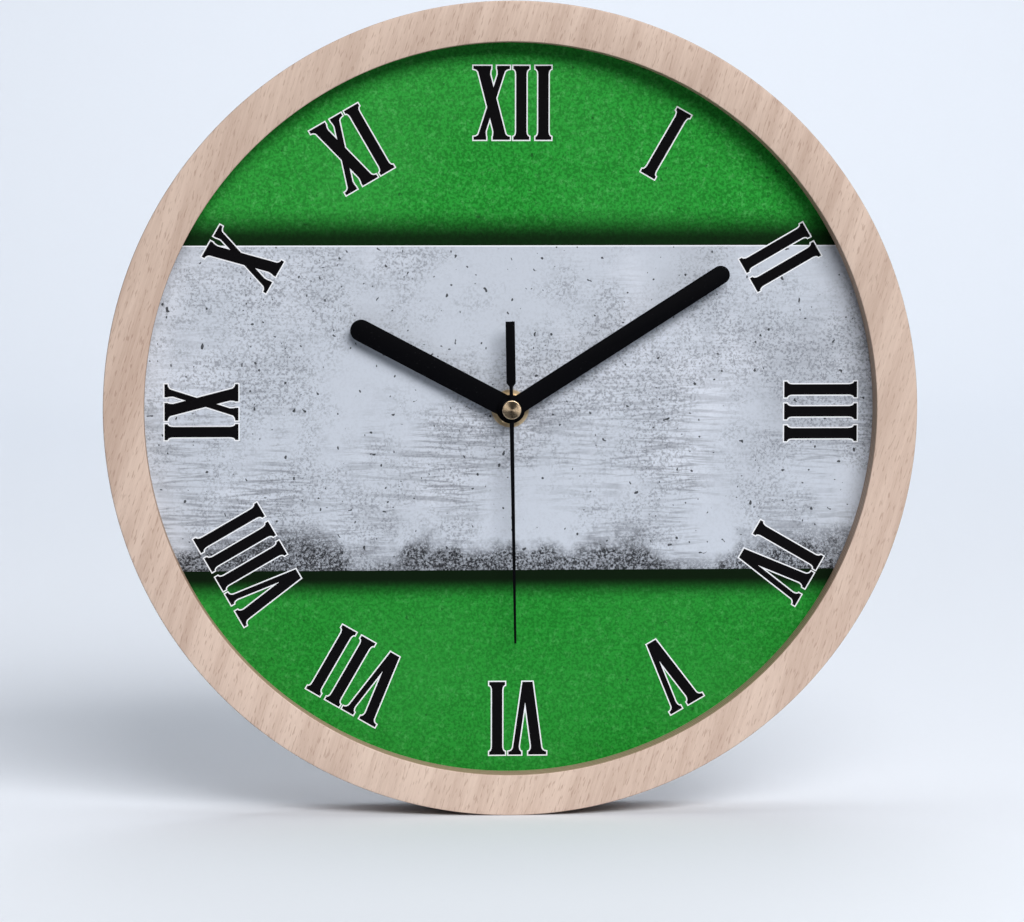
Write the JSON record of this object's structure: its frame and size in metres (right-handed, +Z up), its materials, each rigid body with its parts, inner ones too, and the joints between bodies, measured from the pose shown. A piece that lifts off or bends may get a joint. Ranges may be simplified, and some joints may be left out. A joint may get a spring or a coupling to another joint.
{
  "type": "wall clock",
  "caption": "Round plywood wall clock: recessed printed dial, three hands, quartz movement with wheel train, AA cell and keyhole hanger.",
  "frame": {"origin": "where the hands' axis meets the wall, on the plane of the case's back face", "axes": "+X to the right of somebody who looks at the dial, +Y into the wall along the hands' axis, +Z up"},
  "size_m": [0.3, 0.032, 0.3],
  "materials": {
    "plywood": "lacquered birch veneer",
    "hardboard": "smooth hardboard",
    "dial_print": "matt printed paper",
    "black_paint": "satin black paint on aluminium",
    "brass": "turned brass",
    "zinc_steel": "zinc plated",
    "spring_steel": "nickel plated spring steel",
    "silicon_steel": "stamped silicon steel",
    "rubber": "soft black rubber",
    "black_plastic": "fine textured black moulding",
    "white_plastic": "white acetal moulding",
    "copper_wire": "enamelled copper wire",
    "magnet": "sintered magnet",
    "circuit_board": "solder mask on board",
    "epoxy": "black epoxy drop",
    "battery_jacket": "printed steel jacket"
  },
  "bodies": {
    "case": {"front_ring": "plywood", "middle_ring": "plywood", "back_ring": "plywood", "frame_screws": "zinc_steel", "dial_board": "hardboard", "dial_print": "dial_print", "rubber_gasket": "rubber", "hanger_plate": "zinc_steel", "threaded_bushing": "brass", "dial_washer": "brass", "dial_nut": "brass", "movement_front_cover": "black_plastic", "movement_back_cover": "black_plastic", "train_bridge": "white_plastic", "stator_plate": "silicon_steel", "coil_core": "silicon_steel", "coil_bobbin": "white_plastic", "coil_winding": "copper_wire", "stator_screws": "zinc_steel", "circuit_board": "circuit_board", "circuit_chip": "epoxy", "quartz_crystal": "spring_steel", "contact_positive": "spring_steel", "contact_negative": "spring_steel"},
    "battery": {"battery": "battery_jacket"},
    "rotor": {"rotor_pinion": "white_plastic", "rotor_magnet": "magnet"},
    "fifth_wheel": {"fifth_wheel": "white_plastic"},
    "second_hand": {"seconds_wheel": "white_plastic", "seconds_arbor": "spring_steel", "second_hand": "black_paint", "second_hand_collet": "brass", "second_hand_cap": "brass"},
    "third_wheel": {"third_wheel": "white_plastic"},
    "centre_wheel": {"centre_wheel": "white_plastic"},
    "minute_hand": {"cannon_pinion": "white_plastic", "clutch_spring": "zinc_steel", "minute_hand": "black_paint", "minute_hand_collet": "brass"},
    "setting": {"minute_wheel": "white_plastic", "setting_knob": "black_plastic"},
    "hour_hand": {"hour_wheel": "white_plastic", "hour_hand": "black_paint", "hour_hand_collet": "brass"}
  },
  "joints": [
    {"name": "seconds_turn", "type": "hinge", "parent": "case", "child": "second_hand", "pos_m": [0, 0, 0], "axis": [0, 1, 0], "continuous": true},
    {"name": "fifth_turn", "type": "hinge", "parent": "case", "child": "fifth_wheel", "pos_m": [-0.0105, 0, 0], "axis": [0, 1, 0], "continuous": true},
    {"name": "rotor_turn", "type": "hinge", "parent": "case", "child": "rotor", "pos_m": [-0.01238, 0, 0.01064], "axis": [0, 1, 0], "continuous": true},
    {"name": "third_turn", "type": "hinge", "parent": "case", "child": "third_wheel", "pos_m": [0.00189, 0, 0.01071], "axis": [0, 1, 0], "continuous": true},
    {"name": "centre_turn", "type": "hinge", "parent": "case", "child": "centre_wheel", "pos_m": [0, 0, 0], "axis": [0, 1, 0], "continuous": true},
    {"name": "minutes_turn", "type": "hinge", "parent": "case", "child": "minute_hand", "pos_m": [0, 0, 0], "axis": [0, 1, 0], "continuous": true},
    {"name": "setting_turn", "type": "hinge", "parent": "case", "child": "setting", "pos_m": [0.0115, 0, 0], "axis": [0, 1, 0], "continuous": true},
    {"name": "hours_turn", "type": "hinge", "parent": "case", "child": "hour_hand", "pos_m": [0, 0, 0], "axis": [0, 1, 0], "continuous": true},
    {"name": "battery_out", "type": "slide", "parent": "case", "child": "battery", "axis": [0, 1, 0], "range_m": [0, 0.02]}
  ],
  "couplings": [
    {"joint": "fifth_turn", "follows": "seconds_turn", "ratio": -6},
    {"joint": "rotor_turn", "follows": "seconds_turn", "ratio": 30},
    {"joint": "third_turn", "follows": "seconds_turn", "ratio": -0.13333},
    {"joint": "centre_turn", "follows": "seconds_turn", "ratio": 0.016667},
    {"joint": "setting_turn", "follows": "minutes_turn", "ratio": -0.33333},
    {"joint": "hours_turn", "follows": "minutes_turn", "ratio": 0.083333}
  ]
}
